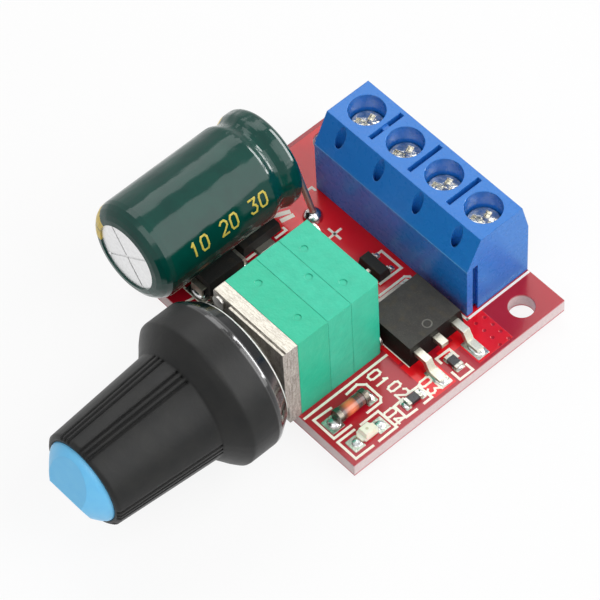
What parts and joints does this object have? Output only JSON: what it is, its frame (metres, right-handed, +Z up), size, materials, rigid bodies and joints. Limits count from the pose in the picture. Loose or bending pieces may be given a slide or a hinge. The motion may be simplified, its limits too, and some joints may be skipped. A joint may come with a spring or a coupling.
{
  "type": "dc motor speed controller",
  "caption": "Small red board that sets a direct current motor's speed: blue screw terminal block, green rotary control with a switch and a knurled knob, storage capacitor and power transistor.",
  "frame": {"origin": "midway between the two mounting holes, on the underside of the board", "axes": "+X along the terminal block to the power transistor's side, +Y out of the wire entries, +Z up out of the board; the knob points along -Y"},
  "size_m": [0.0317, 0.0476, 0.0159],
  "materials": {
    "board_laminate": "semi-gloss solder mask on glass laminate",
    "solder": "bright tin",
    "terminal_plastic": "moulded nylon",
    "tinned_metal": "tin plated",
    "screw_steel": "zinc plated",
    "clamp_brass": "stamped",
    "die_cast": "die cast, ground face",
    "control_plastic": "moulded, semi-gloss",
    "rivet_metal": "rolled",
    "wafer_laminate": "phenolic paper",
    "shaft_aluminium": "turned",
    "carrier_plastic": "moulded",
    "knob_plastic": "moulded, satin",
    "cap_plastic": "moulded, satin",
    "can_aluminium": "drawn",
    "winding_paper": "wound foil and paper",
    "sleeve_plastic": "heat-shrunk film",
    "bung_rubber": "moulded",
    "mould_compound": "moulded, matt",
    "resistor_film": "glazed",
    "chip_ceramic": "fired ceramic",
    "diode_glass": "clear",
    "lamp_resin": "cast resin",
    "lamp_gold": "gold plated"
  },
  "bodies": {
    "controller": {"circuit_board": "board_laminate", "board_solder": "solder", "terminal_housing": "terminal_plastic", "terminal_contacts": "tinned_metal", "control_front_plate": "die_cast", "resistor_housing": "control_plastic", "middle_housing": "control_plastic", "switch_housing": "control_plastic", "housing_rivets": "rivet_metal", "resistor_wafer": "wafer_laminate", "resistor_pins": "tinned_metal", "switch_contacts": "tinned_metal", "switch_blade": "clamp_brass", "capacitor_can": "can_aluminium", "capacitor_winding": "winding_paper", "capacitor_sleeve": "sleeve_plastic", "capacitor_bung": "bung_rubber", "capacitor_leads": "tinned_metal", "transistor_body": "mould_compound", "transistor_leads": "tinned_metal", "flyback_diode": "mould_compound", "flyback_diode_leads": "tinned_metal", "regulator": "mould_compound", "regulator_leads": "tinned_metal", "timer_chip": "mould_compound", "timer_chip_leads": "tinned_metal", "gate_transistor": "mould_compound", "gate_transistor_leads": "tinned_metal", "chip_resistors": "resistor_film", "resistor_ends": "solder", "chip_capacitors": "chip_ceramic", "chip_capacitor_ends": "solder", "glass_diodes": "diode_glass", "glass_diode_caps": "tinned_metal", "indicator_lamp": "lamp_resin", "indicator_lamp_ends": "lamp_gold"},
    "speed_knob": {"control_shaft": "shaft_aluminium", "wiper_carrier": "carrier_plastic", "wiper_spring": "clamp_brass", "knob_body": "knob_plastic", "knob_cap": "cap_plastic"},
    "screw_1": {"terminal_screw_1": "screw_steel"},
    "clamp_1": {"wire_clamp_1": "clamp_brass"},
    "screw_2": {"terminal_screw_2": "screw_steel"},
    "clamp_2": {"wire_clamp_2": "clamp_brass"},
    "screw_3": {"terminal_screw_3": "screw_steel"},
    "clamp_3": {"wire_clamp_3": "clamp_brass"},
    "screw_4": {"terminal_screw_4": "screw_steel"},
    "clamp_4": {"wire_clamp_4": "clamp_brass"}
  },
  "joints": [
    {"name": "knob_turn", "type": "hinge", "parent": "controller", "child": "speed_knob", "pos_m": [0.00325, -0.02355, 0.00751], "axis": [0, 1, 0], "range_deg": [0, 300]},
    {"name": "screw_1_turn", "type": "hinge", "parent": "controller", "child": "screw_1", "pos_m": [-0.0071, 0.00005, 0.0094], "axis": [0, 0, -1], "range_deg": [0, 1180]},
    {"name": "clamp_1_rise", "type": "slide", "parent": "controller", "child": "clamp_1", "axis": [0, 0, 1], "range_m": [0, 0.0016]},
    {"name": "screw_2_turn", "type": "hinge", "parent": "controller", "child": "screw_2", "pos_m": [-0.0021, 0.00005, 0.0094], "axis": [0, 0, -1], "range_deg": [0, 1180]},
    {"name": "clamp_2_rise", "type": "slide", "parent": "controller", "child": "clamp_2", "axis": [0, 0, 1], "range_m": [0, 0.0016]},
    {"name": "screw_3_turn", "type": "hinge", "parent": "controller", "child": "screw_3", "pos_m": [0.0029, 0.00005, 0.0094], "axis": [0, 0, -1], "range_deg": [0, 1180]},
    {"name": "clamp_3_rise", "type": "slide", "parent": "controller", "child": "clamp_3", "axis": [0, 0, 1], "range_m": [0, 0.0016]},
    {"name": "screw_4_turn", "type": "hinge", "parent": "controller", "child": "screw_4", "pos_m": [0.0079, 0.00005, 0.0094], "axis": [0, 0, -1], "range_deg": [0, 1180]},
    {"name": "clamp_4_rise", "type": "slide", "parent": "controller", "child": "clamp_4", "axis": [0, 0, 1], "range_m": [0, 0.0016]}
  ],
  "couplings": [
    {"joint": "screw_1_turn", "follows": "clamp_1_rise", "rad_per_m": 12566},
    {"joint": "screw_2_turn", "follows": "clamp_2_rise", "rad_per_m": 12566},
    {"joint": "screw_3_turn", "follows": "clamp_3_rise", "rad_per_m": 12566},
    {"joint": "screw_4_turn", "follows": "clamp_4_rise", "rad_per_m": 12566}
  ]
}
